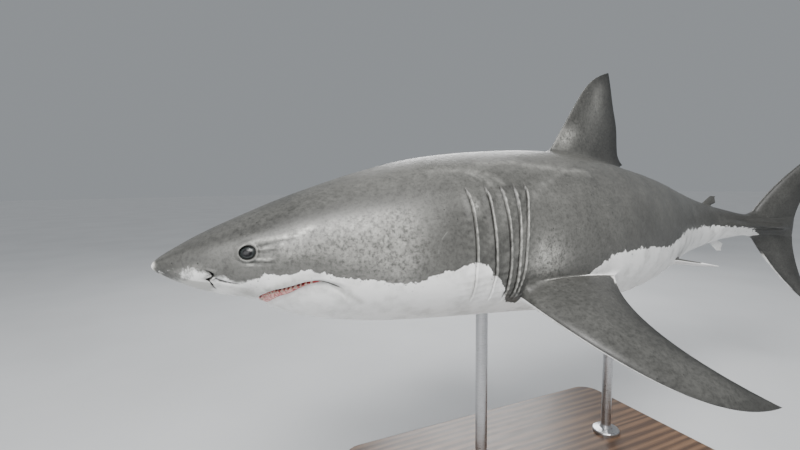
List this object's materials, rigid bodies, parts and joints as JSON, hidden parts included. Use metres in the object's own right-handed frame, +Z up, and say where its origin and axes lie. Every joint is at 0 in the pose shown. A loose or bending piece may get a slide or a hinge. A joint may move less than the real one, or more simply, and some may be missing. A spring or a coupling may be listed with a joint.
{
  "type": "great white shark",
  "caption": "Life-size great white shark swimming level, its tail swept to one side and its mouth slightly open, on a display stand with a flat base and rods.",
  "frame": {"origin": "middle of the underside of the stand's base", "axes": "+Z up; the head points toward -X and the tail toward +X; the left side faces -Y"},
  "size_m": [3.6375, 1.5541, 1.6993],
  "materials": {
    "skin": "smooth grey shark skin with fine speckles, white below",
    "skin_white": "white skin of the throat and belly",
    "skin_fin": "darker grey skin of the fins",
    "eye": "glossy, near black",
    "base_wood": "dark stained, satin",
    "rod_steel": "brushed"
  },
  "bodies": {
    "root": {"head": "skin", "lower_jaw": "skin_white", "trunk_front": "skin", "trunk_rear": "skin", "tail_stalk": "skin", "first_dorsal_fin": "skin_fin", "second_dorsal_fin": "skin_fin", "anal_fin": "skin_white", "pectoral_fin_left": "skin_fin", "pectoral_fin_right": "skin_fin", "pelvic_fin_left": "skin_white", "pelvic_fin_right": "skin_white", "caudal_fin_upper": "skin_fin", "caudal_fin_lower": "skin_fin", "eye_left": "eye", "eye_right": "eye", "stand_base": "base_wood", "stand_rod_front": "rod_steel", "stand_rod_rear": "rod_steel"}
  },
  "joints": []
}
